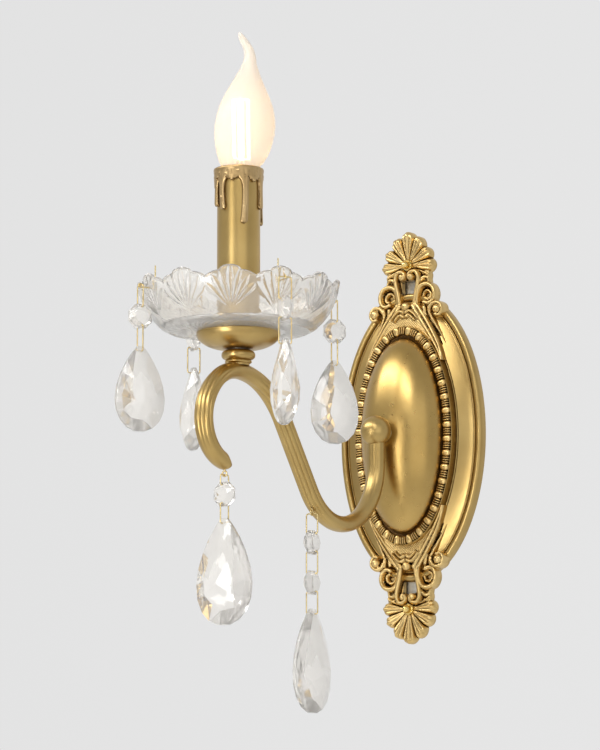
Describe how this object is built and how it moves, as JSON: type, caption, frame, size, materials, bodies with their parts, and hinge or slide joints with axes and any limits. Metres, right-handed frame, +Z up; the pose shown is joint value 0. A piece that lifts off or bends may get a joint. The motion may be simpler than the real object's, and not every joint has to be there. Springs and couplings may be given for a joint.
{
  "type": "crystal wall sconce",
  "caption": "Brass wall light with an oval cast plate, one S-shaped arm, a scalloped glass dish, a candle lamp and strings of cut crystals.",
  "frame": {"origin": "middle of the wall strap's back face, on the wall plane", "axes": "+Z up, -Y out from the wall, +X to the right seen from the front"},
  "size_m": [0.1328, 0.2534, 0.3876],
  "materials": {
    "satin_brass": "satin, brushed and lacquered",
    "antique_brass": "satin cast brass with darker hollows",
    "bright_brass": "polished",
    "zinc_steel": "zinc plated",
    "pressed_glass": "clear, fire polished",
    "crystal": "clear, cut and polished",
    "brass_wire": "bright",
    "wax_finish": "antique gold lacquer",
    "holder_plastic": "moulded",
    "lamp_glass": "clear, thin blown",
    "lamp_cap_metal": "rolled thread",
    "black_glass": "vitrified",
    "filament_glow": "phosphor coated, lit"
  },
  "bodies": {
    "root": {"backplate": "antique_brass", "bead_ring": "antique_brass", "dome": "antique_brass", "wall_strap": "zinc_steel", "mounting_studs": "zinc_steel", "stud_lock_nuts": "zinc_steel", "cap_nuts": "bright_brass", "arm": "satin_brass", "arm_ball": "satin_brass", "arm_tube": "zinc_steel", "arm_washer": "zinc_steel", "arm_nut": "zinc_steel", "knuckle": "satin_brass", "cup": "satin_brass", "bobeche": "pressed_glass", "candle_tube": "zinc_steel", "bobeche_washer": "zinc_steel", "bobeche_nut": "zinc_steel", "candle_sleeve": "satin_brass", "drip_cap": "wax_finish", "lampholder_body": "holder_plastic", "lampholder_shell": "bright_brass", "lampholder_contact": "bright_brass", "holder_bracket": "zinc_steel", "rim_hooks": "brass_wire", "arm_eyes": "brass_wire"},
    "lamp": {"bulb_cap": "lamp_cap_metal", "bulb_insulator": "black_glass", "bulb_contact": "lamp_cap_metal", "bulb_glass": "lamp_glass", "bulb_stem": "lamp_glass", "bulb_filaments": "filament_glow"},
    "string_a_upper": {"clip_a": "brass_wire", "bead_a": "crystal"},
    "string_a_lower": {"link_a": "brass_wire", "drop_a": "crystal"},
    "string_b_upper": {"clip_b": "brass_wire", "bead_b": "crystal"},
    "string_b_lower": {"link_b": "brass_wire", "drop_b": "crystal"},
    "string_c_upper": {"clip_c": "brass_wire", "bead_c": "crystal"},
    "string_c_lower": {"link_c": "brass_wire", "drop_c": "crystal"},
    "string_d_upper": {"clip_d": "brass_wire", "bead_d": "crystal"},
    "string_d_lower": {"link_d": "brass_wire", "drop_d": "crystal"},
    "string_e_upper": {"clip_e": "brass_wire", "bead_e": "crystal"},
    "string_e_lower": {"link_e": "brass_wire", "drop_e": "crystal"},
    "string_f_upper": {"clip_f": "brass_wire", "bead_f1": "crystal"},
    "string_f_middle": {"link_f1": "brass_wire", "bead_f2": "crystal"},
    "string_f_lower": {"link_f2": "brass_wire", "drop_f": "crystal"}
  },
  "joints": [
    {"name": "lamp_unscrew", "type": "slide", "parent": "root", "child": "lamp", "axis": [0, 0, 1], "range_m": [0, 0.025]},
    {"name": "a_upper_swing", "type": "hinge", "parent": "root", "child": "string_a_upper", "pos_m": [-0.03055, -0.23991, 0.06235], "axis": [-0.866, 0.5, 0], "range_deg": [-10, 25]},
    {"name": "a_lower_swing", "type": "hinge", "parent": "string_a_upper", "child": "string_a_lower", "pos_m": [-0.03055, -0.23991, 0.03955], "axis": [-0.866, 0.5, 0], "range_deg": [-15, 25]},
    {"name": "b_upper_swing", "type": "hinge", "parent": "root", "child": "string_b_upper", "pos_m": [-0.05291, -0.15645, 0.06235], "axis": [0.5, 0.866, 0], "range_deg": [-10, 25]},
    {"name": "b_lower_swing", "type": "hinge", "parent": "string_b_upper", "child": "string_b_lower", "pos_m": [-0.05291, -0.15645, 0.03955], "axis": [0.5, 0.866, 0], "range_deg": [-15, 25]},
    {"name": "c_upper_swing", "type": "hinge", "parent": "root", "child": "string_c_upper", "pos_m": [0.05291, -0.21755, 0.06235], "axis": [-0.5, -0.866, 0], "range_deg": [-10, 25]},
    {"name": "c_lower_swing", "type": "hinge", "parent": "string_c_upper", "child": "string_c_lower", "pos_m": [0.05291, -0.21755, 0.03955], "axis": [-0.5, -0.866, 0], "range_deg": [-15, 25]},
    {"name": "d_upper_swing", "type": "hinge", "parent": "root", "child": "string_d_upper", "pos_m": [0.03055, -0.13409, 0.06235], "axis": [0.866, -0.5, 0], "range_deg": [-10, 25]},
    {"name": "d_lower_swing", "type": "hinge", "parent": "string_d_upper", "child": "string_d_lower", "pos_m": [0.03055, -0.13409, 0.03955], "axis": [0.866, -0.5, 0], "range_deg": [-15, 25]},
    {"name": "e_upper_swing", "type": "hinge", "parent": "root", "child": "string_e_upper", "pos_m": [0, -0.20037, -0.04328], "axis": [0, 1, 0], "range_deg": [-25, 25]},
    {"name": "e_lower_swing", "type": "hinge", "parent": "string_e_upper", "child": "string_e_lower", "pos_m": [0, -0.20037, -0.05948], "axis": [0, 1, 0], "range_deg": [-25, 25]},
    {"name": "f_upper_swing", "type": "hinge", "parent": "root", "child": "string_f_upper", "pos_m": [0, -0.11181, -0.05699], "axis": [1, 0, 0], "range_deg": [-20, 20]},
    {"name": "f_middle_swing", "type": "hinge", "parent": "string_f_upper", "child": "string_f_middle", "pos_m": [0, -0.11181, -0.07889], "axis": [1, 0, 0], "range_deg": [-20, 20]},
    {"name": "f_lower_swing", "type": "hinge", "parent": "string_f_middle", "child": "string_f_lower", "pos_m": [0, -0.11181, -0.10229], "axis": [1, 0, 0], "range_deg": [-20, 20]}
  ]
}
